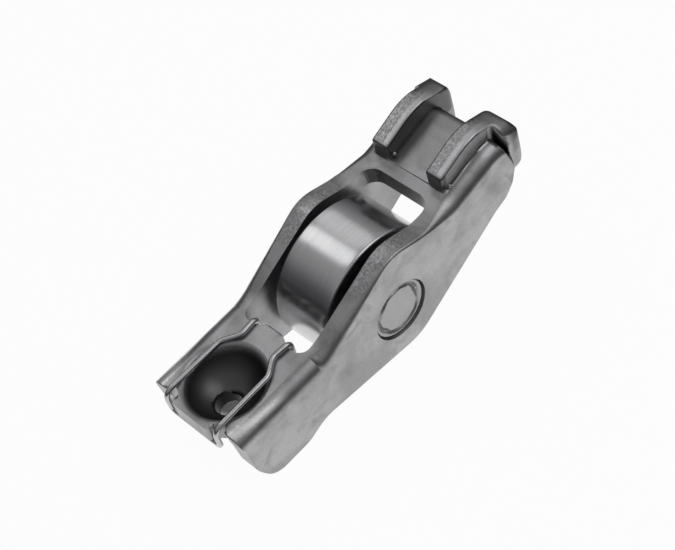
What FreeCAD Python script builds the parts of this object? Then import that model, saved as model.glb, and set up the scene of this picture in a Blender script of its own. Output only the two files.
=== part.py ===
import FreeCAD, Part
from FreeCAD import Vector
import math
import os

# Roller finger follower, lying on its cam side with the socket and the valve pad facing up.
# Origin: middle of the roller axis. +X points to the valve pad, +Z is up. Millimetres.

# Roller and its needle bearing
roller_radius = 9.0
roller_width = 8.2
roller_edge_chamfer = 0.3
roller_bore_chamfer = 0.2
axle_radius = 4.0
needle_radius = 0.8
needle_length = 7.2
needle_count = 18
bearing_clearance = 0.05

# Axle ends, staked in the two walls
axle_recess = 0.35
axle_fit = 0.02
axle_edge_chamfer = 0.25
stake_groove_radius = 3.15
stake_groove_width = 0.45
stake_groove_depth = 0.3

# Pressed sheet body
arm_half_width = 7.4
wall_thickness = 2.4
web_thickness = 2.5

# Pivot socket
socket_x = -20.4
socket_radius = 4.95
socket_centre_rise = 0.75
socket_lip_radius = 1.0
socket_lip_steps = 4
cup_sides = [(6.4, 2.9), (5.2, 0.4), (3.7, -1.1), (2.2, -1.6)]
oil_hole_offset = 0.7
oil_hole_top_radius = 1.8
oil_hole_bottom_radius = 1.25
oil_hole_mouth = 0.8
oil_hole_low = -2.9

# Ends of the body
socket_to_wall_end = 4.7
tongue_reach = 1.0
tongue_corner_radius = 0.5
pad_end_x = 20.7
pad_end_drop = 0.45
wall_back_reach = 0.34
pad_nose_radius = 1.3

# Web levels above the roller axis
socket_web_level = 4.15
rim_rise = 0.4
pad_neck_level = 7.6
pad_front_level = 7.95
pad_crown_level = 9.75

# Lower edge of the walls
bore_land = 2.95
foot_level = -6.0
foot_length = 5.7
foot_radius = 3.0
heel_setback = 2.2
heel_run = 1.7
heel_rise = 3.6
waist_run = 3.0
waist_rise = 1.2
pad_wall_level = 0.4

# Shoulder rounding between web and wall: station along X and radius
shoulder_stations = [
    (-27, 2.1), (-12.5, 2.1), (-6, 0.6), (0.8, 0.35), (6.4, 0.5), (10.5, 1.9), (24, 1.9),
]
shoulder_relief = 0.015
shoulder_step = math.radians(7)

# Window over the roller
window_pad_gap = 0.95
window_socket_gap = 3.95
window_pad_radius = 2.0
window_socket_radius = 1.4
tab_reach = 0.85
tab_half_width = 1.2
tab_run = 1.2
tab_root_radius = 0.6
tab_tip_radius = 1.2

# Retaining clip, one bent spring wire
wire_radius = 0.45
wire_clearance = 0.02
wire_bend_radius = 0.8
wire_bend_step = math.radians(31)
clip_end_bend_radius = 1.4
clip_end_gap = 1.0
clip_waist_x = -17.4
clip_waist_y = 3.9
clip_neck_x = -15.5
clip_neck_y = 3.0
clip_hook_side = 0.35
clip_hook_gap = 0.05
clip_hook_drop = 2.0
notch_y = 3.95
notch_width = 1.9
notch_depth = 0.75
notch_corner_radius = 0.9

# Guide ears beside the valve pad, folded in from the walls
ear_inner_y = 3.0
ear_thickness = 2.5
ear_length = 9.2
ear_front_level = 10.3
ear_front_radius = 0.4
ear_crest_setback = 3.3
ear_crest_level = 12.4
ear_crest_radius = 7.0
ear_edge_radius = 0.35
fold_reach = 2.95
fold_back_level = 7.2
fold_back_radius = 4.0
fold_top_setback = 1.3
fold_top_level = 10.8
fold_top_radius = 2.2
fold_bottom_setback = 0.9
fold_bottom_level = 4.0
fold_bottom_radius = 1.0
fold_cap_y = 5.4
fold_cap_rise = 1.5
fold_cap_inner_slope = 0.7
fold_cap_slope = 2.1
fold_cap_radius = 3.0
crease_lean = 0.086
crease_opening = 0.26
crease_tip_level = 4.4
crease_weld = 0.05

# How far a cutting shape runs past what it cuts
overrun = 1.0

inner_half_width = arm_half_width - wall_thickness
needle_pitch_radius = axle_radius + bearing_clearance + needle_radius
roller_bore_radius = needle_pitch_radius + needle_radius + bearing_clearance
socket_centre = Vector(socket_x, 0, socket_web_level + socket_centre_rise)
wall_end_x = socket_x - socket_to_wall_end
tongue_end_x = wall_end_x - tongue_reach
window_pad_x = roller_radius + window_pad_gap
window_socket_x = -roller_radius - window_socket_gap
tab_root_y = tab_half_width + tab_run
ear_outer_y = ear_inner_y + ear_thickness
ear_front_x = pad_end_x - ear_length
fold_end_x = pad_end_x + fold_reach
fold_top_x = fold_end_x - fold_top_setback
crest_x = pad_end_x - ear_crest_setback
fold_radius = (arm_half_width - ear_inner_y) / 2
wall_back_x = pad_end_x + wall_back_reach
pad_end_level = pad_crown_level - pad_end_drop
foot_x = wall_end_x + heel_setback
toe_x = foot_x + foot_length
bore_radius = axle_radius + axle_fit

# Side view of the web, socket end to pad end: x, level, blend radius
web_corners = [
    (-11.0, socket_web_level, 7.0),
    (0.8, roller_radius + rim_rise, 5.0),
    (6.4, pad_neck_level, 6.0),
    (ear_front_x, pad_front_level, 8.0),
    (pad_end_x - 1.8, pad_crown_level, 6.0),
]

# Side view of the walls' lower edge, pad end to socket end: x, level, blend radius
wall_corners = [
    (pad_end_x - 0.5, pad_wall_level + 1.9, 2.0),
    (pad_end_x - 1.9, pad_wall_level + 0.6, 2.0),
    (pad_end_x - 3.9, pad_wall_level, 2.5),
    (1.6, -bore_radius - bore_land, 6.0),
    (toe_x + waist_run, foot_level + waist_rise, 5.0),
    (toe_x, foot_level, 4.0),
    (foot_x, foot_level, foot_radius),
    (foot_x - heel_run, foot_level + heel_rise, 4.0),
]


def in_side_view(y):
    return lambda a, b: Vector(a, y, b)


def in_plan(z):
    return lambda a, b: Vector(a, b, z)


def tangent_bend(before, corner, after, radius):
    """Start, middle and end of the arc that rounds a corner."""
    u = (before - corner).normalize()
    v = (after - corner).normalize()
    half = u.getAngle(v) / 2
    reach = radius / math.tan(half)
    middle = corner + (u + v).normalize() * (radius / math.sin(half) - radius)
    return corner + u * reach, middle, corner + v * reach


def blended_wire(corners, place):
    """Closed wire through corners (a, b, radius), each rounded by a tangent arc."""
    points = [place(a, b) for a, b, radius in corners]
    bends = []
    for i, (a, b, radius) in enumerate(corners):
        before = points[i - 1]
        after = points[(i + 1) % len(points)]
        bends.append(tangent_bend(before, points[i], after, radius))
    edges = []
    for i, (start, middle, stop) in enumerate(bends):
        if corners[i][2] > 0:
            edges.append(Part.Arc(start, middle, stop).toShape())
        following = bends[(i + 1) % len(bends)][0]
        if (following - stop).Length > 1e-6:
            edges.append(Part.LineSegment(stop, following).toShape())
    return Part.Wire(edges)


def prism(corners, place, direction):
    return Part.Face(blended_wire(corners, place)).extrude(direction)


def box_between(low, high):
    return Part.makeBox(high[0] - low[0], high[1] - low[1], high[2] - low[2], Vector(*low))


def centred_cylinder(radius, half_length):
    """Cylinder on the roller axis."""
    return Part.makeCylinder(radius, 2 * half_length, Vector(0, -half_length, 0), Vector(0, 1, 0))


def end_rims(shape, radius):
    """Circular edges of one radius."""
    rings = [edge for edge in shape.Edges if edge.Closed and hasattr(edge.Curve, "Radius")]
    return [edge for edge in rings if abs(edge.Curve.Radius - radius) < 1e-6]


def on_both_sides(shape):
    return shape.fuse(shape.mirror(Vector(0, 0, 0), Vector(0, 1, 0)))


def shoulder_radius(x):
    for (x0, r0), (x1, r1) in zip(shoulder_stations, shoulder_stations[1:]):
        if x0 <= x <= x1:
            return r0 + (r1 - r0) * (x - x0) / (x1 - x0)
    return shoulder_stations[-1][1]


def outer_envelope():
    corners = [(wall_end_x, socket_web_level, 0)] + web_corners
    corners += [(pad_end_x, pad_end_level, 0), (pad_end_x, pad_end_level - pad_nose_radius, 0)]
    corners += [(wall_back_x, crease_tip_level, 0)] + wall_corners
    return prism(corners, in_side_view(-arm_half_width), Vector(0, 2 * arm_half_width, 0))


def web_stations():
    """Points along the side view of the web, close together on its arcs, each with its direction."""
    corners = [(wall_end_x - overrun, socket_web_level, 0)] + web_corners
    corners += [(pad_end_x + 2 * overrun, pad_end_level - 2 * pad_end_drop, 0)]
    points = [Vector(x, 0, level) for x, level, radius in corners]
    stations = [(points[0], (points[1] - points[0]).normalize())]
    for before, corner, after, (x, level, radius) in zip(points, points[1:], points[2:], corners[1:]):
        ahead = (corner - before).normalize()
        turned = (after - corner).normalize()
        turn = math.atan2(ahead.cross(turned).y, ahead.dot(turned))
        start = corner - ahead * radius * math.tan(abs(turn) / 2)
        spoke = Vector(-ahead.z, 0, ahead.x) * math.copysign(radius, turn)
        steps = math.ceil(abs(turn) / shoulder_step)
        for step in range(steps + 1):
            swing = FreeCAD.Rotation(Vector(0, 1, 0), math.degrees(turn) * step / steps)
            stations.append((start - spoke + swing.multVec(spoke), swing.multVec(ahead)))
    stations.append((points[-1], (points[-1] - points[-2]).normalize()))
    return stations


def shoulder_section(point, ahead):
    """Corner between the web and a wall that a round shoulder takes away, seen along the web."""
    radius = shoulder_radius(point.x)
    up = Vector(-ahead.z, 0, ahead.x)
    side = Vector(0, 1, 0)
    inset = shoulder_relief - radius
    centre = point + side * (arm_half_width + inset) + up * inset
    low = centre + side * radius
    high = centre + up * radius
    middle = centre + (side + up).normalize() * radius
    out = side * overrun + up * (overrun + radius)
    return Part.Wire([
        Part.Arc(low, middle, high).toShape(),
        Part.LineSegment(high, high + up * overrun).toShape(),
        Part.LineSegment(high + up * overrun, low + out).toShape(),
        Part.LineSegment(low + out, low + side * overrun).toShape(),
        Part.LineSegment(low + side * overrun, low).toShape(),
    ])


def shoulder():
    """The bend from web to wall is wide at both ends and tight where the window opens the web."""
    stations = web_stations()
    sections = [shoulder_section(point, ahead) for point, ahead in stations]
    level_part = Part.Face(sections[0]).extrude(stations[1][0] - stations[0][0])
    return level_part.fuse(Part.makeLoft(sections[1:], True, True))


def channel_hollow():
    """Space between the walls under the web, open at both ends and towards the cam."""
    low = foot_level - roller_radius
    end = pad_end_x + overrun
    corners = [(wall_end_x - overrun, socket_web_level - web_thickness, 0)]
    corners += [(x, level - web_thickness, radius) for x, level, radius in web_corners]
    corners += [(end, pad_end_level - pad_end_drop - web_thickness, 0), (end, low, 0)]
    corners += [(wall_end_x - overrun, low, 0)]
    return prism(corners, in_side_view(-inner_half_width), Vector(0, 2 * inner_half_width, 0))


def window():
    half = inner_half_width
    tab_x = window_socket_x + tab_reach
    corners = [
        (window_pad_x, -half, window_pad_radius),
        (window_pad_x, half, window_pad_radius),
        (window_socket_x, half, window_socket_radius),
        (window_socket_x, tab_root_y, tab_root_radius),
        (tab_x, tab_half_width, tab_tip_radius),
        (tab_x, -tab_half_width, tab_tip_radius),
        (window_socket_x, -tab_root_y, tab_root_radius),
        (window_socket_x, -half, window_socket_radius),
    ]
    height = roller_radius + rim_rise + overrun
    return prism(corners, in_plan(0), Vector(0, 0, height))


def tongue():
    """End of the web beyond the walls, between the two clip notches."""
    half = notch_y - notch_width / 2
    low = socket_web_level - web_thickness
    root_x = wall_end_x + notch_depth
    corners = [
        (root_x, -half, 0),
        (tongue_end_x, -half, tongue_corner_radius),
        (tongue_end_x, half, tongue_corner_radius),
        (root_x, half, 0),
    ]
    return prism(corners, in_plan(low), Vector(0, 0, web_thickness))


def notch():
    """Cut in the end of the web where one leg of the clip goes down."""
    low = socket_web_level - web_thickness - overrun
    near = notch_y - notch_width / 2
    far = notch_y + notch_width / 2
    corners = [
        (tongue_end_x - overrun, near, 0),
        (tongue_end_x - overrun, far, 0),
        (wall_end_x + notch_depth, far, notch_corner_radius),
        (wall_end_x + notch_depth, near, notch_corner_radius),
    ]
    return prism(corners, in_plan(low), Vector(0, 0, web_thickness + 2 * overrun))


def socket_cup():
    """Outside of the pressed cup under the web, held between the walls."""
    outline = [Vector(socket_x, 0, cup_sides[0][1])]
    outline += [Vector(socket_x + radius, 0, level) for radius, level in cup_sides]
    outline += [Vector(socket_x, 0, cup_sides[-1][1])]
    section = Part.Face(Part.makePolygon(outline + outline[:1]))
    cup = section.revolve(Vector(socket_x, 0, 0), Vector(0, 0, 1), 360)
    half = inner_half_width + overrun / 10
    low = (wall_end_x, -half, cup_sides[-1][1])
    high = (socket_x + cup_sides[0][0], half, cup_sides[0][1])
    return cup.common(box_between(low, high))


def socket_space():
    """Hemispherical seat with a rolled lip and an oil hole through its floor."""
    ball = Part.makeSphere(socket_radius, socket_centre)
    lip_z = socket_web_level - socket_lip_radius
    lip_r = math.sqrt(socket_radius ** 2 - (socket_centre.z - lip_z) ** 2)
    outline = [Vector(socket_x, 0, lip_z)]
    for step in range(socket_lip_steps + 1):
        turn = math.pi / 2 * step / socket_lip_steps
        out = lip_r + socket_lip_radius * (1 - math.cos(turn))
        outline.append(Vector(socket_x + out, 0, lip_z + socket_lip_radius * math.sin(turn)))
    outline.append(Vector(outline[-1].x, 0, socket_web_level + overrun))
    outline.append(Vector(socket_x, 0, socket_web_level + overrun))
    section = Part.Face(Part.makePolygon(outline + outline[:1]))
    lip = section.revolve(Vector(socket_x, 0, 0), Vector(0, 0, 1), 360)
    floor = Vector(socket_x - socket_radius, -socket_radius, socket_centre.z - socket_radius)
    lower_ball = ball.common(box_between(floor, (socket_x + socket_radius, socket_radius, lip_z)))
    start = Vector(socket_x - oil_hole_offset, 0, oil_hole_low)
    hole_height = floor.z + oil_hole_mouth - oil_hole_low
    hole = Part.makeCone(oil_hole_bottom_radius, oil_hole_top_radius, hole_height, start)
    return lip.fuse([lower_ball, hole])


def faces_up(shape, edge):
    """How many of the faces that share the edge look upwards."""
    count = 0
    for face in shape.Faces:
        if any(edge.isSame(other) for other in face.Edges):
            u0, u1, v0, v1 = face.ParameterRange
            count += face.normalAt((u0 + u1) / 2, (v0 + v1) / 2).z > 0.6
    return count


def ear_and_fold():
    """One guide ear: the wall's end is folded in on itself and stands beside the pad."""
    height = ear_crest_level + overrun
    start_x = ear_front_x - overrun
    plan = prism([
        (start_x, ear_inner_y, 0),
        (fold_end_x, ear_inner_y, fold_radius),
        (fold_end_x, arm_half_width, fold_radius),
        (start_x, arm_half_width, 0),
    ], in_plan(0), Vector(0, 0, height))
    low = pad_front_level - web_thickness / 2
    side = prism([
        (ear_front_x, low, 0),
        (ear_front_x, ear_front_level, ear_front_radius),
        (crest_x, ear_crest_level, ear_crest_radius),
        (fold_top_x, fold_top_level, fold_top_radius),
        (fold_end_x, fold_back_level, fold_back_radius),
        (fold_end_x - fold_bottom_setback, fold_bottom_level, fold_bottom_radius),
        (pad_end_x - web_thickness / 2, fold_bottom_level, 0),
        (pad_end_x - web_thickness / 2, low, 0),
    ], in_side_view(0), Vector(0, arm_half_width, 0))
    crease_x = wall_back_x - crease_weld + crease_lean * crease_tip_level
    before_fold = prism([
        (start_x, 0, 0),
        (crease_x, 0, 0),
        (crease_x - crease_lean * height, height, 0),
        (start_x, height, 0),
    ], in_side_view(ear_outer_y), Vector(0, arm_half_width, 0))
    fall = (ear_crest_level - fold_top_level) / (fold_top_x - crest_x)
    cap_top = ear_crest_level + fall * crest_x + fold_cap_rise
    cap_reach = fold_end_x + overrun
    cap = prism([
        (0, cap_top - fold_cap_inner_slope * fold_cap_y, 0),
        (fold_cap_y, cap_top, fold_cap_radius),
        (arm_half_width, cap_top - fold_cap_slope * (arm_half_width - fold_cap_y), 0),
        (arm_half_width, 0, 0),
        (0, 0, 0),
    ], lambda a, b: Vector(0, a, b), Vector(cap_reach, 0, -fall * cap_reach))
    ear = plan.common(side).cut(before_fold)
    top = ear_front_level - ear_thickness / 2
    rolled = [e for e in ear.Edges if e.CenterOfMass.z > top and faces_up(ear, e) == 1]
    return ear.makeFillet(ear_edge_radius, rolled).common(cap)


def crease():
    """Open wedge between the shoulder and the folded end of the wall."""
    rise = ear_crest_level - crease_tip_level
    corners = [
        (wall_back_x, crease_tip_level, 0),
        (wall_back_x + overrun, crease_tip_level + rise, 0),
        (wall_back_x - crease_opening * rise, crease_tip_level + rise, 0),
    ]
    return prism(corners, in_side_view(ear_outer_y), Vector(0, arm_half_width, 0))


def pad_nose():
    """Corner taken off the free end of the pad, between the folds."""
    low = pad_end_level - pad_nose_radius
    half = ear_inner_y + ear_thickness / 5
    start_x = pad_end_x - pad_nose_radius
    corner = box_between((start_x, -half, low), (pad_end_x + overrun, half, pad_crown_level + overrun))
    nose = Part.makeCylinder(pad_nose_radius, 2 * half, Vector(start_x, -half, low), Vector(0, 1, 0))
    return corner.cut(nose)


def arm_body():
    body = outer_envelope().cut(on_both_sides(shoulder())).cut(channel_hollow())
    body = body.fuse([tongue(), socket_cup()])
    body = body.cut(window()).cut(on_both_sides(notch())).cut(socket_space())
    body = body.cut(centred_cylinder(bore_radius, arm_half_width))
    body = body.cut(pad_nose()).cut(on_both_sides(crease()))
    body = body.fuse(on_both_sides(ear_and_fold()))
    return body.removeSplitter()


def roller():
    half = roller_width / 2
    ring = centred_cylinder(roller_radius, half).cut(centred_cylinder(roller_bore_radius, half))
    ring = ring.makeChamfer(roller_edge_chamfer, end_rims(ring, roller_radius))
    return ring.makeChamfer(roller_bore_chamfer, end_rims(ring, roller_bore_radius))


def axle():
    half = arm_half_width - axle_recess
    pin = centred_cylinder(axle_radius, half)
    pin = pin.makeChamfer(axle_edge_chamfer, end_rims(pin, axle_radius))
    groove_outer = centred_cylinder(stake_groove_radius + stake_groove_width / 2, half)
    groove_inner = centred_cylinder(stake_groove_radius - stake_groove_width / 2, half)
    middle = centred_cylinder(axle_radius, half - stake_groove_depth)
    return pin.cut(groove_outer.cut(groove_inner).cut(middle))


def needle_roller(number):
    pin = centred_cylinder(needle_radius, needle_length / 2)
    angle = 2 * math.pi * number / needle_count
    pin.translate(Vector(needle_pitch_radius * math.cos(angle), 0, needle_pitch_radius * math.sin(angle)))
    return pin


def bent_wire_path(points, radii):
    """Open path whose inner corners are rounded, each bend in a few short straight steps."""
    path = [points[0]]
    for before, corner, after, radius in zip(points, points[1:], points[2:], radii):
        start, middle, stop = tangent_bend(before, corner, after, radius)
        bend = Part.Arc(start, middle, stop).toShape()
        steps = math.ceil(bend.Length / radius / wire_bend_step)
        path += bend.discretize(steps + 1)
    path.append(points[-1])
    return Part.makePolygon(path)


def retaining_clip():
    lie = socket_web_level + wire_radius + wire_clearance
    bar_level = socket_web_level - web_thickness - wire_radius - wire_clearance
    hook_x = window_socket_x + wire_radius + clip_hook_gap
    hook_y = tab_root_y + clip_hook_side
    clip_end_x = wall_end_x + notch_depth - clip_end_gap - wire_radius
    one_arm = [
        Vector(hook_x, hook_y, lie - clip_hook_drop),
        Vector(hook_x, hook_y, lie),
        Vector(clip_neck_x, clip_neck_y, lie),
        Vector(clip_waist_x, clip_waist_y, lie),
        Vector(clip_end_x, notch_y, lie),
        Vector(clip_end_x, notch_y, bar_level),
    ]
    other_arm = [Vector(p.x, -p.y, p.z) for p in reversed(one_arm)]
    bends = [wire_bend_radius] * 3 + [clip_end_bend_radius, wire_bend_radius]
    path = bent_wire_path(one_arm + other_arm, bends + bends[::-1])
    section = Part.Wire([Part.Circle(one_arm[0], Vector(0, 0, 1), wire_radius).toShape()])
    mitred = 1
    return path.makePipeShell([section], True, False, mitred)


def rest_tilt():
    """Turn about Y that lets the feet at the socket end touch the plane under the roller."""
    foot = Vector(foot_x, 0, foot_level)
    heel_side = Vector(-heel_run, 0, heel_rise).normalize()
    bisector = (Vector(1, 0, 0) + heel_side).normalize()
    centre = foot + bisector * (foot_radius / math.sin(heel_side.getAngle(bisector)))
    distance = math.hypot(centre.x, centre.z)
    below = math.atan2(-centre.z, -centre.x)
    return math.asin((roller_radius - foot_radius) / distance) - below


def write_part(name, shape, tilt):
    shape.rotate(Vector(0, 0, 0), Vector(0, 1, 0), -math.degrees(tilt))
    shape.exportStep(os.path.join("parts", name + ".step"))
    print(name, "solids", len(shape.Solids), "valid", shape.isValid(), "volume", round(shape.Volume, 2))


def main():
    os.makedirs("parts", exist_ok=True)
    tilt = rest_tilt()
    print("rest tilt", round(math.degrees(tilt), 3))
    write_part("arm_body", arm_body(), tilt)
    write_part("roller", roller(), tilt)
    write_part("axle", axle(), tilt)
    write_part("retaining_clip", retaining_clip(), tilt)
    for number in range(needle_count):
        write_part("needle_roller_%02d" % (number + 1), needle_roller(number), tilt)


main()
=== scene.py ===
import bpy
import bmesh
import math
import numpy as np
from mathutils import Euler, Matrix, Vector


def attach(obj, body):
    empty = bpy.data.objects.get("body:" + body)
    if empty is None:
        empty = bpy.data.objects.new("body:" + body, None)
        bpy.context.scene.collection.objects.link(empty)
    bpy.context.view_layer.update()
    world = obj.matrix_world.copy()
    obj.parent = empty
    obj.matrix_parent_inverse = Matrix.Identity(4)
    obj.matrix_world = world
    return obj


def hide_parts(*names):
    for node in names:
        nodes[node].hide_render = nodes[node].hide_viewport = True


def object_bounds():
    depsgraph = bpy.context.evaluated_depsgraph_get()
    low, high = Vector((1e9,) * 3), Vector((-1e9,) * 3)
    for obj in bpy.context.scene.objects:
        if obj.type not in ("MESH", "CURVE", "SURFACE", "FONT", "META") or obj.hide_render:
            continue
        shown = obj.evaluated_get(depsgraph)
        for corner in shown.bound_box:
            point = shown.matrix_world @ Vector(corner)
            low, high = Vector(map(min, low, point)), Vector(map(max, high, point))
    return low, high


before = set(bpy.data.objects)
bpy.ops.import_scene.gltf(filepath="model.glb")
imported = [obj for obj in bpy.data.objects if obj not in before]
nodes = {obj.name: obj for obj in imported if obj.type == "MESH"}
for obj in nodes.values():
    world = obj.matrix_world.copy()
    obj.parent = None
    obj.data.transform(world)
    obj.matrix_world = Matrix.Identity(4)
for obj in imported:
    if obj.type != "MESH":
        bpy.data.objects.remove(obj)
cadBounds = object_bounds()
mm = 0.001
weldDistance = 0.001 * mm
print("frame loaded:", len(nodes), "nodes")


def linearColour(hexText):
    # sRGB hex to linear red, green, blue and an alpha of one
    parts = [int(hexText[i:i + 2], 16) / 255 for i in (1, 3, 5)]
    return tuple(p / 12.92 if p <= 0.04045 else ((p + 0.055) / 1.055) ** 2.4 for p in parts) + (1.0,)


def perMetre(sizeMm):
    # texture scale whose pattern repeats about every sizeMm millimetres of Object coordinates
    return 1.0 / (sizeMm * mm)


def addNode(tree, kind, settings=None, inputs=None):
    # settings are the node's own options, inputs are sockets of other nodes, hex colours or numbers
    node = tree.nodes.new(kind)
    for key, value in (settings or {}).items():
        setattr(node, key, value)
    for key, value in (inputs or {}).items():
        if isinstance(value, bpy.types.NodeSocket):
            tree.links.new(value, node.inputs[key])
        else:
            node.inputs[key].default_value = linearColour(value) if isinstance(value, str) else value
    return node


def emptyMaterial(name):
    material = bpy.data.materials.new(name)
    material.use_nodes = True
    material.node_tree.nodes.clear()
    return material, material.node_tree


def meshPiece(name, points, faces, material):
    mesh = bpy.data.meshes.new(name)
    mesh.from_pydata(points.tolist(), [], faces.tolist())
    mesh.update()
    mesh.materials.append(material)
    mesh.shade_smooth()
    piece = bpy.data.objects.new(name, mesh)
    bpy.context.scene.collection.objects.link(piece)
    return piece


cameraPlace = {
    "positionMm": (-84.92, -104.86, 148.45),
    "turnDegrees": (42.116, 6.364, -45.149),
    "lensMm": 91.6,
    "sensorMm": 36.0,
    "nearestMm": 10.0,
}

cameraData = bpy.data.cameras.new("photoCamera")
cameraData.lens = cameraPlace["lensMm"]
cameraData.sensor_width = cameraPlace["sensorMm"]
cameraData.clip_start = cameraPlace["nearestMm"] * mm
camera = bpy.data.objects.new("photoCamera", cameraData)
bpy.context.scene.collection.objects.link(camera)
camera.location = Vector(cameraPlace["positionMm"]) * mm
camera.rotation_euler = Euler([math.radians(a) for a in cameraPlace["turnDegrees"]], "XYZ")
bpy.context.scene.camera = camera
print("camera placed")


studio = {
    "cardColour": "#F6F6F6",
    "cardSizeMm": 3000.0,
    "cardBrightToMm": 38.0,
    "cardDarkFromMm": 75.0,
    "cardFarColour": "#4A4A4B",
    "cardGlow": 0.96,
    "shadeMm": (-18.3, 4.2),
    "shadeReachMm": (1.1, 3.2),
    "roomLow": "#505052",
    "roomHigh": "#A4A4A5",
    "roomLowHeight": 0.1,
    "roomHighHeight": 0.72,
    "boxes": [
        # name, place in mm, width in mm, how bright it looks, where 1 is white
        ("overheadBox", (-42, 155, 229), 105, 1.0),
        ("cameraSideBox", (87, -118, 243), 200, 0.9),
        ("windowBox", (98, 150, 215), 115, 0.46),
    ],
}


def makeFloor():
    # a sheet of matt white card just touching the roller and the feet; it shows white to the eye and in
    # the steel, except in the shade that is seen through the oil hole, and dark in the steel far away
    half = studio["cardSizeMm"] * mm / 2
    level = cadBounds[0][2]
    points = np.array([(-half, -half, level), (half, -half, level),
                       (half, half, level), (-half, half, level)])
    material, tree = emptyMaterial("mattWhiteCard")
    place = addNode(tree, "ShaderNodeTexCoord")
    away = addNode(tree, "ShaderNodeVectorMath", {"operation": "LENGTH"}, {0: place.outputs["Object"]})
    near = addNode(tree, "ShaderNodeMapRange", {"interpolation_type": "SMOOTHSTEP"},
                   {"Value": away.outputs["Value"], "From Min": studio["cardBrightToMm"] * mm,
                    "From Max": studio["cardDarkFromMm"] * mm, "To Min": 1.0, "To Max": 0.0})
    path = addNode(tree, "ShaderNodeLightPath")
    mirrored = addNode(tree, "ShaderNodeMath", {"operation": "MAXIMUM"},
                       {0: path.outputs["Is Glossy Ray"], 1: path.outputs["Is Transmission Ray"]})
    nearMirrored = addNode(tree, "ShaderNodeMath", {"operation": "MULTIPLY"},
                           {0: mirrored.outputs[0], 1: near.outputs[0]})
    seen = addNode(tree, "ShaderNodeMath", {"operation": "MAXIMUM"},
                   {0: path.outputs["Is Camera Ray"], 1: nearMirrored.outputs[0]})
    shadeX, shadeY = [v * mm for v in studio["shadeMm"]]
    shadeFull, shadeEnd = [v * mm for v in studio["shadeReachMm"]]
    fromShade = addNode(tree, "ShaderNodeVectorMath", {"operation": "DISTANCE"},
                        {0: place.outputs["Object"], 1: (shadeX, shadeY, level)})
    clear = addNode(tree, "ShaderNodeMapRange", {"interpolation_type": "SMOOTHSTEP"},
                    {"Value": fromShade.outputs["Value"], "From Min": shadeFull, "From Max": shadeEnd,
                     "To Max": studio["cardGlow"]})
    glowing = addNode(tree, "ShaderNodeMath", {"operation": "MULTIPLY"},
                      {0: seen.outputs[0], 1: clear.outputs[0]})
    white = addNode(tree, "ShaderNodeMath", {"operation": "MAXIMUM"},
                    {0: path.outputs["Is Camera Ray"], 1: near.outputs[0]})
    colour = addNode(tree, "ShaderNodeMix", {"data_type": "RGBA"},
                     {0: white.outputs[0], 6: studio["cardFarColour"], 7: studio["cardColour"]})
    matt = addNode(tree, "ShaderNodeBsdfDiffuse", None, {"Color": colour.outputs[2]})
    glow = addNode(tree, "ShaderNodeEmission", None, {"Color": "#FFFFFF", "Strength": 1.0})
    mix = addNode(tree, "ShaderNodeMixShader", None,
                  {0: glowing.outputs[0], 1: matt.outputs[0], 2: glow.outputs[0]})
    addNode(tree, "ShaderNodeOutputMaterial", None, {"Surface": mix.outputs[0]})
    floor = meshPiece("floor", points, np.array([(0, 1, 2, 3)]), material)


def makeRoom():
    # a dim room: dark walls at table height, a pale ceiling, and plain white where the camera looks
    # past the part
    world = bpy.data.worlds.new("studioRoom")
    world.use_nodes = True
    tree = world.node_tree
    tree.nodes.clear()
    place = addNode(tree, "ShaderNodeTexCoord")
    axes = addNode(tree, "ShaderNodeSeparateXYZ", None, {0: place.outputs["Generated"]})
    height = addNode(tree, "ShaderNodeMapRange", {"interpolation_type": "SMOOTHSTEP"},
                     {"Value": axes.outputs["Z"], "From Min": studio["roomLowHeight"],
                      "From Max": studio["roomHighHeight"]})
    colour = addNode(tree, "ShaderNodeMix", {"data_type": "RGBA"},
                     {0: height.outputs[0], 6: studio["roomLow"], 7: studio["roomHigh"]})
    path = addNode(tree, "ShaderNodeLightPath")
    shown = addNode(tree, "ShaderNodeMix", {"data_type": "RGBA"},
                    {0: path.outputs["Is Camera Ray"], 6: colour.outputs[2], 7: "#FFFFFF"})
    background = addNode(tree, "ShaderNodeBackground", None, {"Color": shown.outputs[2], "Strength": 1.0})
    addNode(tree, "ShaderNodeOutputWorld", None, {"Surface": background.outputs[0]})
    bpy.context.scene.world = world


def makeBoxes():
    # square softboxes turned towards the part
    for name, place, width, brightness in studio["boxes"]:
        light = bpy.data.lights.new(name, "AREA")
        light.shape = "SQUARE"
        light.size = width * mm
        light.energy = brightness * math.pi * light.size ** 2
        lamp = bpy.data.objects.new(name, light)
        bpy.context.scene.collection.objects.link(lamp)
        lamp.location = Vector(place) * mm
        lamp.rotation_euler = (-lamp.location).to_track_quat("-Z", "Y").to_euler()


makeFloor()
makeRoom()
makeBoxes()
bpy.context.scene.view_settings.view_transform = "Standard"
print("studio lit")


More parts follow.
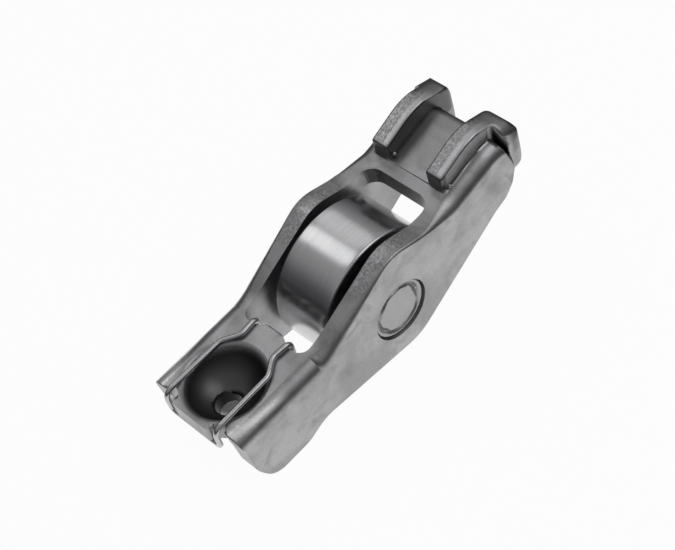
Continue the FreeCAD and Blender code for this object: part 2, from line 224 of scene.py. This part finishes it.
stampedSteel = {
    "dark": "#9C9C9D",
    "light": "#B2B2B3",
    "smudgeTone": "#868687",
    "padTone": "#969697",
    # painted shade for the corners that the ambient occlusion finds closed in
    "paintedCornerShade": "#4C4C4D",
    # pale edges: wear, and also a painted highlight along the edges
    "edgeWearHighlightTone": "#D2D3D4",
    "shearDark": "#949495",
    "shearLight": "#C8C8C9",
    "shearSpeck": "#EAEAEA",
    "earBand": "#C4C4C5",
    # painted shade on the ears' inner and front faces
    "earShade": "#6C6C6D",
    # painted highlight on the shoulders
    "shoulderPaintedHighlight": "#FAFAFA",
    # painted shade in the socket's hollow
    "socketPaintedShade": "#5E5E5F",
    # painted shade on the oil hole's wall
    "oilHolePaintedShade": "#202021",
    # how large in mm, and the noise's other settings; the tumbled skin's own grain is finer than "fine"
    # and "grain", which are drawn as coarse as they need to show
    "grains": {
        "cloud": (5.0, {"Detail": 4.0}),
        "smudge": (2.2, {"Detail": 6.0, "Distortion": 0.6}),
        "grain": (0.3, {"Detail": 3.0}),
        "fine": (0.16, {"Detail": 2.0}),
        "tears": (0.34, {"Detail": 6.0, "Roughness": 0.7}),
    },
    "fineSwing": 0.22,
    "bumpMm": 0.006,
    "tearBumpMm": 0.03,
    "tearWobbleMm": 1.0,
    "railWobbleMm": 3.0,
    "roughness": 0.38,
    "roughnessSwing": 0.07,
    "wornRoughness": 0.12,
    "wearHighlightCosines": (0.99, 0.86),
    "wearHighlightShare": 0.8,
    "edgeMm": 0.06,
    "foldEdgeMm": 0.6,
    "cornerReachMm": 0.7,
    "earMiddleYmm": 4.2,
    "highlightSlope": 0.17,
    "highlightOffsetMm": 10.15,
    "socketCentreMm": (-20.89, 0.0, 1.9),
    "oilHoleMm": (-20.73, 0.0, -4.04),
    "webUpward": (-0.1444, 0.0, 0.9895),
    # smooth steps: what is measured (places in mm), where the step is 0, where it is full, how high then
    "steps": {
        # the skin: clouds, smudges, tears of the press, open faces as against corners, folded ends
        "clouded": ("cloud", 0.35, 0.65, 1.0),
        "smudged": ("smudge", 0.5, 0.75, 0.5),
        "torn": ("tears", 0.4, 0.66, 1.0),
        "specks": ("tears", 0.67, 0.74, 1.0),
        "open": ("corner", 0.45, 0.85, 1.0),
        "folded": ("x", 18.5, 20.0, 1.0),
        # the valve pad
        "padStart": ("x", 9.0, 12.0, 1.0),
        "padSide": ("across", 6.5, 5.0, 0.8),
        # the guide ears
        "earFront": ("x", 10.1, 10.5, 1.0),
        "earBack": ("x", 18.8, 17.2, 1.0),
        "earInner": ("across", 2.85, 2.95, 1.0),
        "earOuter": ("across", 5.9, 5.8, 1.0),
        "earRough": ("wavyOwn", -0.35, -0.15, 1.0),
        "earAbove": ("z", 9.8, 10.2, 1.0),
        "nearInside": ("across", 3.55, 3.15, 1.0),
        "offMiddle": ("across", 2.05, 2.45, 1.0),
        "nearFront": ("x", 10.9, 10.6, 1.0),
        "pastFront": ("x", 9.2, 9.6, 1.0),
        # the rims over the roller
        "railStart": ("wavyAlong", -5.8, -4.6, 1.0),
        "railStop": ("wavyAlong", 4.9, 1.9, 1.0),
        "railInner": ("wavyAcross", 4.9, 5.1, 1.0),
        "railOuter": ("wavyAcross", 7.2, 6.6, 1.0),
        # the painted highlight on the shoulders beside the socket
        "highlightLine": ("fromLine", 0.9, 0.0, 1.0),
        "highlightStart": ("x", -26.2, -25.2, 1.0),
        "highlightStop": ("x", -17.0, -19.5, 1.0),
        # the socket, whose ball is 4.95 mm in radius, and its oil hole, both darkened with painted shade
        "nearBall": ("fromSocket", 5.45, 5.0, 1.0),
        "belowBall": ("fromSocket", 5.0, 5.1, 1.0),
        "deep": ("level", 3.5, 2.7, 1.0),
        "nearHole": ("fromHole", 2.9, 2.5, 1.0),
    },
    # each zone is where all of these steps hold
    "zones": {
        "onPad": ("padStart", "padSide"),
        "earTop": ("up", "earFront", "earBack", "earInner", "earOuter"),
        "earTorn": ("earTop", "earRough"),
        "railTorn": ("up", "railStart", "railStop", "railInner", "railOuter"),
        "earFace": ("nearFront", "earInner"),
        "earFoot": ("steep", "offMiddle", "earOuter", "earAbove", "pastFront"),
        # where the shoulders get a painted highlight
        "shoulderHighlit": ("up", "highlightLine", "highlightStart", "highlightStop"),
        # where the socket gets painted shade
        "socketShaded": ("nearBall", "deep"),
        # where the oil hole's wall gets painted shade
        "holeShaded": ("nearHole", "belowBall"),
    },
}


def makeStampedSteel(values):
    # case-hardened sheet steel, blanked, folded and tumbled: an even grey satin with faint clouds,
    # torn and glittering where the press sheared it, on the ears' tops and over the roller; painted shade
    # darkens its corners, the ears' inner and front faces, the socket and its oil hole, and a painted
    # highlight lies along the shoulders and, with the wear, along the edges
    material, tree = emptyMaterial("stampedCaseHardenedSteel")
    spot = addNode(tree, "ShaderNodeTexCoord").outputs["Object"]
    inMm = addNode(tree, "ShaderNodeVectorMath", {"operation": "SCALE"},
                   {0: spot, "Scale": 1 / mm}).outputs[0]
    axes = addNode(tree, "ShaderNodeSeparateXYZ", None, {0: inMm})
    measured = {"x": axes.outputs["X"], "z": axes.outputs["Z"]}
    for name, (sizeMm, settings) in values["grains"].items():
        noise = addNode(tree, "ShaderNodeTexNoise", None,
                        {"Scale": perMetre(sizeMm), "Vector": spot, **settings})
        measured[name] = noise.outputs[0]

    # how far across, the same on both sides, and on each ear from its own middle; the limits of the torn
    # zones and of the painted shoulder highlight waver by half of each wobble to either side
    across = addNode(tree, "ShaderNodeMath", {"operation": "ABSOLUTE"}, {0: axes.outputs["Y"]}).outputs[0]
    ownSide = addNode(tree, "ShaderNodeMath", {"operation": "SIGN"}, {0: axes.outputs["Y"]})
    own = addNode(tree, "ShaderNodeMath", {"operation": "MULTIPLY_ADD"},
                  {0: ownSide.outputs[0], 1: -values["earMiddleYmm"], 2: axes.outputs["Y"]}).outputs[0]
    measured["across"] = across
    for name, source, noise, wobble in (("wavyAcross", across, "tears", "tearWobbleMm"),
                                        ("wavyOwn", own, "tears", "tearWobbleMm"),
                                        ("wavyAlong", axes.outputs["X"], "smudge", "railWobbleMm")):
        shift = addNode(tree, "ShaderNodeMath", {"operation": "MULTIPLY_ADD"},
                        {0: measured[noise], 1: values[wobble], 2: -values[wobble] / 2})
        moved = addNode(tree, "ShaderNodeMath", {"operation": "ADD"}, {0: source, 1: shift.outputs[0]})
        measured[name] = moved.outputs[0]

    # how far from the slanting line |y| = slope * x + offset along which a highlight is painted on the
    # shoulders, from the socket's centre and from the oil hole, and how high above the axle, square to
    # the web
    line = addNode(tree, "ShaderNodeMath", {"operation": "MULTIPLY_ADD"},
                   {0: axes.outputs["X"], 1: values["highlightSlope"], 2: values["highlightOffsetMm"]})
    offLine = addNode(tree, "ShaderNodeMath", {"operation": "SUBTRACT"},
                      {0: measured["wavyAcross"], 1: line.outputs[0]})
    measured["fromLine"] = addNode(tree, "ShaderNodeMath", {"operation": "ABSOLUTE"},
                                   {0: offLine.outputs[0]}).outputs[0]
    for name, operation, other in (("fromSocket", "DISTANCE", values["socketCentreMm"]),
                                   ("fromHole", "DISTANCE", values["oilHoleMm"]),
                                   ("level", "DOT_PRODUCT", values["webUpward"])):
        node = addNode(tree, "ShaderNodeVectorMath", {"operation": operation}, {0: inMm, 1: other})
        measured[name] = node.outputs["Value"]
    # ambient occlusion: how closed in each place is, which sets the painted corner shade
    corner = addNode(tree, "ShaderNodeAmbientOcclusion", {"samples": 8, "only_local": True},
                     {"Distance": values["cornerReachMm"] * mm})
    measured["corner"] = corner.outputs["AO"]

    up = addNode(tree, "ShaderNodeAttribute", {"attribute_name": "facesUp"}).outputs["Fac"]
    steep = addNode(tree, "ShaderNodeMath", {"operation": "SUBTRACT"}, {0: 1.0, 1: up})
    masks = {"up": up, "steep": steep.outputs[0]}
    for name, (source, low, high, top) in values["steps"].items():
        step = addNode(tree, "ShaderNodeMapRange", {"interpolation_type": "SMOOTHSTEP"},
                       {"Value": measured[source], "From Min": low, "From Max": high, "To Max": top})
        masks[name] = step.outputs[0]
    for name, parts in values["zones"].items():
        zone = masks[parts[0]]
        for part in parts[1:]:
            zone = addNode(tree, "ShaderNodeMath", {"operation": "MULTIPLY"},
                           {0: zone, 1: masks[part]}).outputs[0]
        masks[name] = zone

    # torn on one half of each ear's top and over the roller, smooth on the ears' other halves, and
    # painted shade darkens the ears' inner and front faces
    for name, operation, one, other in (("earSmooth", "SUBTRACT", "earTop", "earTorn"),
                                        ("sheared", "MAXIMUM", "earTorn", "railTorn"),
                                        ("earFaces", "MAXIMUM", "nearInside", "earFace"),
                                        ("shadedEarFaces", "MULTIPLY", "earFaces", "earFoot")):
        node = addNode(tree, "ShaderNodeMath", {"operation": operation},
                       {0: masks[one], 1: masks[other]})
        masks[name] = node.outputs[0]

    # tumbling stones round the edges a little and scuff them pale, a pale that also stands as a painted
    # highlight along the edges, and the folded ends are rounder
    reach = addNode(tree, "ShaderNodeMath", {"operation": "MULTIPLY_ADD"},
                    {0: masks["folded"], 1: (values["foldEdgeMm"] - values["edgeMm"]) * mm,
                     2: values["edgeMm"] * mm})
    rounded = addNode(tree, "ShaderNodeBevel", {"samples": 8}, {"Radius": reach.outputs[0]})
    flat = addNode(tree, "ShaderNodeNewGeometry")
    alike = addNode(tree, "ShaderNodeVectorMath", {"operation": "DOT_PRODUCT"},
                    {0: rounded.outputs[0], 1: flat.outputs["Normal"]})
    wearHighlightFrom, wearHighlightTo = values["wearHighlightCosines"]
    wornAndHighlit = addNode(tree, "ShaderNodeMapRange", {"interpolation_type": "SMOOTHSTEP"},
                   {"Value": alike.outputs["Value"], "From Min": wearHighlightFrom, "From Max": wearHighlightTo,
                    "To Max": values["wearHighlightShare"]})
    # the edges' pale wear, which also stands as a painted highlight
    scuffedAndHighlit = addNode(tree, "ShaderNodeMath", {"operation": "MULTIPLY"},
                      {0: wornAndHighlit.outputs[0], 1: masks["open"]})

    # colour, one layer over the other: sheet, grain, painted shade in the corners, pale edges that are
    # also a painted highlight, painted shade in the socket and its oil hole
    plain = addNode(tree, "ShaderNodeMix", {"data_type": "RGBA"},
                    {0: masks["clouded"], 6: values["dark"], 7: values["light"]})
    tornBase = addNode(tree, "ShaderNodeMix", {"data_type": "RGBA"},
                       {0: masks["torn"], 6: values["shearDark"], 7: values["shearLight"]})
    tornColour = addNode(tree, "ShaderNodeMix", {"data_type": "RGBA"},
                         {0: masks["specks"], 6: tornBase.outputs[2], 7: values["shearSpeck"]})
    colour = plain.outputs[2]
    # among these layers: painted shade on the ears' faces and a painted highlight on the shoulders
    for mask, tone in (("smudged", values["smudgeTone"]), ("onPad", values["padTone"]),
                       ("earSmooth", values["earBand"]), ("shadedEarFaces", values["earShade"]),
                       ("shoulderHighlit", values["shoulderPaintedHighlight"]), ("sheared", tornColour.outputs[2])):
        colour = addNode(tree, "ShaderNodeMix", {"data_type": "RGBA"},
                         {0: masks[mask], 6: colour, 7: tone}).outputs[2]
    swing = addNode(tree, "ShaderNodeMath", {"operation": "MULTIPLY_ADD"},
                    {0: measured["fine"], 1: 2 * values["fineSwing"], 2: 1 - values["fineSwing"]})
    grained = addNode(tree, "ShaderNodeVectorMath", {"operation": "SCALE"},
                      {0: colour, "Scale": swing.outputs[0]})
    # painted shade: darker in the corners, by the ambient occlusion
    colour = addNode(tree, "ShaderNodeMix", {"data_type": "RGBA"},
                     {0: masks["open"], 6: values["paintedCornerShade"], 7: grained.outputs[0]}).outputs[2]
    # the painted highlight with the wear along the edges, then painted shade in the socket and its oil
    # hole
    for mask, tone in ((scuffedAndHighlit.outputs[0], "edgeWearHighlightTone"), (masks["socketShaded"], "socketPaintedShade"),
                       (masks["holeShaded"], "oilHolePaintedShade")):
        colour = addNode(tree, "ShaderNodeMix", {"data_type": "RGBA"},
                         {0: mask, 6: colour, 7: values[tone]}).outputs[2]

    # here and in the ground and drawn steels a noise n swings a value v by s to both sides:
    # v + s * (2 n - 1)
    uneven = addNode(tree, "ShaderNodeMath", {"operation": "MULTIPLY_ADD"},
                     {0: measured["smudge"], 1: 2 * values["roughnessSwing"],
                      2: values["roughness"] - values["roughnessSwing"]})
    rough = addNode(tree, "ShaderNodeMath", {"operation": "MULTIPLY_ADD"},
                    {0: scuffedAndHighlit.outputs[0], 1: values["wornRoughness"], 2: uneven.outputs[0]})
    relief = addNode(tree, "ShaderNodeMath", {"operation": "MULTIPLY"},
                     {0: measured["grain"], 1: values["bumpMm"]})
    tearDepth = addNode(tree, "ShaderNodeMath", {"operation": "MULTIPLY"},
                        {0: masks["sheared"], 1: values["tearBumpMm"]})
    height = addNode(tree, "ShaderNodeMath", {"operation": "MULTIPLY_ADD"},
                     {0: measured["tears"], 1: tearDepth.outputs[0], 2: relief.outputs[0]})
    bump = addNode(tree, "ShaderNodeBump", None,
                   {"Distance": mm, "Height": height.outputs[0], "Normal": rounded.outputs[0]})
    shader = addNode(tree, "ShaderNodeBsdfPrincipled", None,
                     {"Metallic": 1.0, "Base Color": colour, "Roughness": rough.outputs[0],
                      "Normal": bump.outputs[0]})
    addNode(tree, "ShaderNodeOutputMaterial", None, {"Surface": shader.outputs[0]})
    return material


groundSteel = {
    "dark": "#BEBEBF",
    "light": "#D2D2D3",
    # real grinding lines are a few hundredths of a millimetre wide, drawn coarser so that they show
    "lineMm": 0.14,
    "lineStretch": (0.02, 1.0, 0.02),
    "cloudMm": 3.0,
    "roughness": 0.22,
    "roughnessSwing": 0.05,
    "bumpMm": 0.0015,
}


def makeGroundSteel(values, name):
    # bearing steel, hardened and centreless ground: near mirror with hair lines round the axis
    material, tree = emptyMaterial(name)
    spot = addNode(tree, "ShaderNodeTexCoord").outputs["Object"]
    stretched = addNode(tree, "ShaderNodeMapping", None, {"Scale": values["lineStretch"], "Vector": spot})
    lines = addNode(tree, "ShaderNodeTexNoise", None,
                    {"Scale": perMetre(values["lineMm"]), "Detail": 3.0, "Vector": stretched.outputs[0]})
    cloud = addNode(tree, "ShaderNodeTexNoise", None,
                    {"Scale": perMetre(values["cloudMm"]), "Detail": 4.0, "Vector": spot})
    colour = addNode(tree, "ShaderNodeMix", {"data_type": "RGBA"},
                     {0: lines.outputs[0], 6: values["dark"], 7: values["light"]})
    rough = addNode(tree, "ShaderNodeMath", {"operation": "MULTIPLY_ADD"},
                    {0: cloud.outputs[0], 1: 2 * values["roughnessSwing"],
                     2: values["roughness"] - values["roughnessSwing"]})
    bump = addNode(tree, "ShaderNodeBump", None,
                   {"Distance": values["bumpMm"] * mm, "Height": lines.outputs[0]})
    shader = addNode(tree, "ShaderNodeBsdfPrincipled", None,
                     {"Metallic": 1.0, "Base Color": colour.outputs[2], "Roughness": rough.outputs[0],
                      "Normal": bump.outputs[0]})
    addNode(tree, "ShaderNodeOutputMaterial", None, {"Surface": shader.outputs[0]})
    return material


turnedSteel = {
    "dark": "#9E9E9F",
    "light": "#B0B0B1",
    # the lathe's feed in one turn
    "ringMm": 0.25,
    "ringShare": 0.15,
    "cloudMm": 1.6,
    "roughness": 0.36,
    "bumpMm": 0.004,
}


def makeTurnedSteel(values):
    # induction-hardened pin, faced in a lathe: satin with faint rings about its own axis
    material, tree = emptyMaterial("turnedPinSteel")
    spot = addNode(tree, "ShaderNodeTexCoord").outputs["Object"]
    # without its part along the axis, the length of the place is its distance from the axis
    flat = addNode(tree, "ShaderNodeMapping", None, {"Scale": (1.0, 0.0, 1.0), "Vector": spot})
    radius = addNode(tree, "ShaderNodeVectorMath", {"operation": "LENGTH"}, {0: flat.outputs[0]})
    turns = addNode(tree, "ShaderNodeMath", {"operation": "MULTIPLY"},
                    {0: radius.outputs["Value"], 1: 2 * math.pi * perMetre(values["ringMm"])})
    rings = addNode(tree, "ShaderNodeMath", {"operation": "SINE"}, {0: turns.outputs[0]})
    cloud = addNode(tree, "ShaderNodeTexNoise", None,
                    {"Scale": perMetre(values["cloudMm"]), "Detail": 5.0, "Vector": spot})
    colour = addNode(tree, "ShaderNodeMix", {"data_type": "RGBA"},
                     {0: cloud.outputs[0], 6: values["dark"], 7: values["light"]})
    height = addNode(tree, "ShaderNodeMath", {"operation": "MULTIPLY_ADD"},
                     {0: rings.outputs[0], 1: values["ringShare"], 2: cloud.outputs[0]})
    bump = addNode(tree, "ShaderNodeBump", None,
                   {"Distance": values["bumpMm"] * mm, "Height": height.outputs[0]})
    shader = addNode(tree, "ShaderNodeBsdfPrincipled", None,
                     {"Metallic": 1.0, "Base Color": colour.outputs[2], "Roughness": values["roughness"],
                      "Normal": bump.outputs[0]})
    addNode(tree, "ShaderNodeOutputMaterial", None, {"Surface": shader.outputs[0]})
    return material


springWire = {
    "dark": "#B2B2B3",
    "light": "#CECECF",
    "soapMm": 1.6,
    # the drawing die's marks are finer than this
    "drawMm": 0.2,
    "roughness": 0.24,
    "roughnessSwing": 0.05,
    "bumpMm": 0.0006,
}


def makeSpringWire(values):
    # hard-drawn music wire: bright, with dull patches left by the drawing soap
    material, tree = emptyMaterial("drawnSpringWire")
    spot = addNode(tree, "ShaderNodeTexCoord").outputs["Object"]
    patches = addNode(tree, "ShaderNodeTexNoise", None,
                      {"Scale": perMetre(values["soapMm"]), "Detail": 4.0, "Vector": spot})
    streaks = addNode(tree, "ShaderNodeTexNoise", None,
                      {"Scale": perMetre(values["drawMm"]), "Detail": 2.0, "Vector": spot})
    colour = addNode(tree, "ShaderNodeMix", {"data_type": "RGBA"},
                     {0: patches.outputs[0], 6: values["dark"], 7: values["light"]})
    rough = addNode(tree, "ShaderNodeMath", {"operation": "MULTIPLY_ADD"},
                    {0: patches.outputs[0], 1: 2 * values["roughnessSwing"],
                     2: values["roughness"] - values["roughnessSwing"]})
    bump = addNode(tree, "ShaderNodeBump", None,
                   {"Distance": values["bumpMm"] * mm, "Height": streaks.outputs[0]})
    shader = addNode(tree, "ShaderNodeBsdfPrincipled", None,
                     {"Metallic": 1.0, "Base Color": colour.outputs[2], "Roughness": rough.outputs[0],
                      "Normal": bump.outputs[0]})
    addNode(tree, "ShaderNodeOutputMaterial", None, {"Surface": shader.outputs[0]})
    return material


steelSheet = makeStampedSteel(stampedSteel)
steelRoller = makeGroundSteel(groundSteel, "groundBearingSteel")
steelNeedle = makeGroundSteel(groundSteel, "groundNeedleSteel")
steelPin = makeTurnedSteel(turnedSteel)
steelWire = makeSpringWire(springWire)
print("materials made")


def weldedCopy(nodeName, pieceName, material, sharpDegrees):
    # the CAD surface with its loose triangles joined, so that it shades as one smooth skin
    work = bmesh.new()
    work.from_mesh(nodes[nodeName].data)
    bmesh.ops.remove_doubles(work, verts=work.verts, dist=weldDistance)
    mesh = bpy.data.meshes.new(pieceName)
    work.to_mesh(mesh)
    work.free()
    mesh.materials.clear()
    mesh.materials.append(material)
    mesh.shade_smooth()
    mesh.set_sharp_from_angle(angle=math.radians(sharpDegrees))
    piece = bpy.data.objects.new(pieceName, mesh)
    bpy.context.scene.collection.objects.link(piece)
    even = piece.modifiers.new("evenNormals", "WEIGHTED_NORMAL")
    even.keep_sharp = True
    return piece


def markUpwardFaces(mesh, lowest, highest):
    # the upward part of each face's normal, from 0 at lowest to 1 at highest, eased at both ends:
    # eased = share squared * (3 - 2 * share)
    normals = np.empty(len(mesh.polygons) * 3)
    mesh.polygons.foreach_get("normal", normals)
    share = np.clip((normals[2::3] - lowest) / (highest - lowest), 0, 1)
    facesUp = mesh.attributes.new("facesUp", "FLOAT", "FACE")
    facesUp.data.foreach_set("value", share * share * (3 - 2 * share))


armLooks = {"sharpDegrees": 28, "upwardFrom": 0.55, "upwardTo": 0.8}

armSkin = weldedCopy("arm_body", "armSkin", steelSheet, armLooks["sharpDegrees"])
markUpwardFaces(armSkin.data, armLooks["upwardFrom"], armLooks["upwardTo"])
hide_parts("arm_body")
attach(armSkin, "arm")
print("arm dressed")


rollerShape = {
    "radiusMm": 9.0,
    "halfWidthMm": 4.1,
    "edgeMm": 0.35,
    "boreMm": 5.7,
    "boreEdgeMm": 0.2,
    "roundSteps": 192,
    "edgeSteps": 7,
    "widthSteps": 9,
    "sharpDegrees": 35,
}


def ringFaces(turns, ringPoints):
    # quads between neighbouring rings of points, wrapped round both ways
    t, p = [a.ravel() for a in np.meshgrid(np.arange(turns), np.arange(ringPoints), indexing="ij")]
    t2, p2 = (t + 1) % turns, (p + 1) % ringPoints
    return np.stack([t * ringPoints + p, t * ringPoints + p2,
                     t2 * ringPoints + p2, t2 * ringPoints + p], axis=1)


def revolvedLoop(profile, steps):
    # a closed profile of (radius, y) points turned about the Y axis:
    # x = radius * cos(angle), z = radius * sin(angle)
    angle = np.linspace(0, 2 * np.pi, steps, endpoint=False)[:, None]
    radius, y = profile[:, 0][None, :], profile[:, 1][None, :]
    points = np.stack([radius * np.cos(angle), y + 0 * angle, radius * np.sin(angle)], axis=-1)
    return points.reshape(-1, 3), ringFaces(steps, len(profile))


def rollerProfile(values):
    # half outline with a quarter round of edgeMm at the rim and a small flat at the bore, then mirrored
    turn = np.linspace(np.pi / 2, 0, values["edgeSteps"])
    edge, half, bore = values["edgeMm"], values["halfWidthMm"], values["boreMm"]
    rim = np.stack([values["radiusMm"] - edge + edge * np.sin(turn),
                    half - edge + edge * np.cos(turn)], 1)
    inner = np.array([(bore + values["boreEdgeMm"], half), (bore, half - values["boreEdgeMm"])])
    outer = np.linspace(-(half - edge), half - edge, values["widthSteps"])[1:-1]
    outer = np.stack([np.full_like(outer, values["radiusMm"]), outer], 1)
    upper = np.concatenate([rim, inner])
    return np.concatenate([outer, upper, upper[::-1] * np.array([1, -1])])


points, faces = revolvedLoop(rollerProfile(rollerShape), rollerShape["roundSteps"])
rollerSkin = meshPiece("rollerSkin", points * mm, faces, steelRoller)
rollerSkin.data.set_sharp_from_angle(angle=math.radians(rollerShape["sharpDegrees"]))
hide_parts("roller")
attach(rollerSkin, "cam_roller")

for name in nodes:
    if name.startswith("needle_roller"):
        nodes[name].data.materials.clear()
        nodes[name].data.materials.append(steelNeedle)
print("roller and needles dressed")


axleLooks = {"sharpDegrees": 28}

axleSkin = weldedCopy("axle", "axleSkin", steelPin, axleLooks["sharpDegrees"])
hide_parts("axle")
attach(axleSkin, "arm")


clipShape = {
    "wireRadiusMm": 0.35,
    "cornersMm": [(-12.5, 2.8, 2.62), (-12.5, 2.8, 4.52), (-15.1, 2.6, 4.52),
                  (-17.1, 4.0, 4.52), (-25.8, 4.1, 4.52), (-25.8, 4.1, 1.28)],
    "bendRadiiMm": [0.8, 1.6, 1.8, 1.3, 0.85],
    "armTiltDegrees": 8.3,
    "bendSteps": 12,
    "roundSteps": 24,
    "endDomeMm": 0.12,
}


def roundedPath(corners, radii, steps):
    # each corner C becomes the parabola (1 - t)^2 S + 2 t (1 - t) C + t^2 E between the points S and E
    # where an arc of its radius would touch the two runs
    before, middle, after = corners[:-2], corners[1:-1], corners[2:]
    u = (before - middle) / np.linalg.norm(before - middle, axis=1, keepdims=True)
    v = (after - middle) / np.linalg.norm(after - middle, axis=1, keepdims=True)
    half = np.arccos(np.clip((u * v).sum(axis=1), -1, 1)) / 2
    reach = (radii / np.tan(half))[:, None]
    t = np.linspace(0, 1, steps)[None, :, None]
    start, stop = (middle + u * reach)[:, None, :], (middle + v * reach)[:, None, :]
    bends = (1 - t) ** 2 * start + 2 * t * (1 - t) * middle[:, None, :] + t ** 2 * stop
    return np.concatenate([corners[:1], bends.reshape(-1, 3), corners[-1:]])


def wireTube(path, radius, dome, roundSteps):
    # circle of the wire's radius carried along the path: point = path + r (cos a * side + sin a * up),
    # with side = tangent x slant, where no run is parallel to slant; each end is domed in rings at 0,
    # 30 and 60 degrees, of depth = dome * (1 - cos) and r = radius * sin
    slant = np.array([0.5, 0.5, 0.7])
    domeDepths, domeRadii = np.array([0.0, 0.13, 0.5]), np.array([0.0, 0.5, 0.87])
    first, last = path[1] - path[0], path[-2] - path[-1]
    first, last = first / np.linalg.norm(first), last / np.linalg.norm(last)
    depth = dome * domeDepths[:, None]
    path = np.concatenate([path[:1] + first * depth, path[:1] + first * dome, path[1:-1],
                           path[-1:] + last * dome, (path[-1:] + last * depth)[::-1]])
    size = np.full(len(path), radius)
    size[:3] = radius * domeRadii
    size[-3:] = size[2::-1]
    tangent = np.gradient(path, axis=0)
    tangent /= np.linalg.norm(tangent, axis=1, keepdims=True)
    side = np.cross(tangent, slant)
    side /= np.linalg.norm(side, axis=1, keepdims=True)
    up = np.cross(side, tangent)
    angle = np.linspace(0, 2 * np.pi, roundSteps, endpoint=False)[None, :, None]
    ring = np.cos(angle) * side[:, None, :] + np.sin(angle) * up[:, None, :]
    points = path[:, None, :] + size[:, None, None] * ring
    rows, columns = np.meshgrid(np.arange(len(path) - 1), np.arange(roundSteps), indexing="ij")
    rows, columns = rows.ravel(), columns.ravel()
    following = (columns + 1) % roundSteps
    faces = np.stack([rows * roundSteps + columns, rows * roundSteps + following,
                      (rows + 1) * roundSteps + following, (rows + 1) * roundSteps + columns], axis=1)
    return points.reshape(-1, 3), faces


def weldPiece(piece):
    # closes the rings of no radius at a tube's ends into single points and turns all faces outwards
    work = bmesh.new()
    work.from_mesh(piece.data)
    bmesh.ops.remove_doubles(work, verts=work.verts, dist=weldDistance)
    bmesh.ops.recalc_face_normals(work, faces=work.faces)
    work.to_mesh(piece.data)
    work.free()


# one half of the wire, mirrored, then leant like the arm, whose feet and roller touch the card
halfCorners = np.array(clipShape["cornersMm"])
corners = np.concatenate([halfCorners, halfCorners[::-1] * np.array([1, -1, 1])])
tilt = math.radians(clipShape["armTiltDegrees"])
turned = np.array([[math.cos(tilt), 0, math.sin(tilt)], [0, 1, 0], [-math.sin(tilt), 0, math.cos(tilt)]])
radii = np.array(clipShape["bendRadiiMm"] + clipShape["bendRadiiMm"][::-1])
wirePath = roundedPath(corners @ turned, radii, clipShape["bendSteps"])
points, faces = wireTube(wirePath, clipShape["wireRadiusMm"], clipShape["endDomeMm"],
                         clipShape["roundSteps"])
clipSkin = meshPiece("clipSkin", points * mm, faces, steelWire)
weldPiece(clipSkin)
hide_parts("retaining_clip")
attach(clipSkin, "arm")
print("axle and clip dressed")


# a bright bead of metal at the foot of each ear, left by the press where the fold starts
earBurrs = {
    "placesMm": [(10.85, 2.8, 10.45), (11.1, -5.62, 10.2)],
    "radiusMm": 0.3,
    "lengthMm": 0.5,
    "endDomeMm": 0.24,
    "roundSteps": 16,
}

beadPoints, beadFaces = [], []
half = np.array([earBurrs["lengthMm"] / 2, 0, 0])
for place in np.array(earBurrs["placesMm"]):
    points, faces = wireTube(np.stack([place - half, place + half]), earBurrs["radiusMm"],
                             earBurrs["endDomeMm"], earBurrs["roundSteps"])
    beadFaces.append(faces + sum(len(p) for p in beadPoints))
    beadPoints.append(points)
burrSkin = meshPiece("earBurrs", np.concatenate(beadPoints) * mm, np.concatenate(beadFaces), steelWire)
weldPiece(burrSkin)
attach(burrSkin, "arm")
print("burrs added")
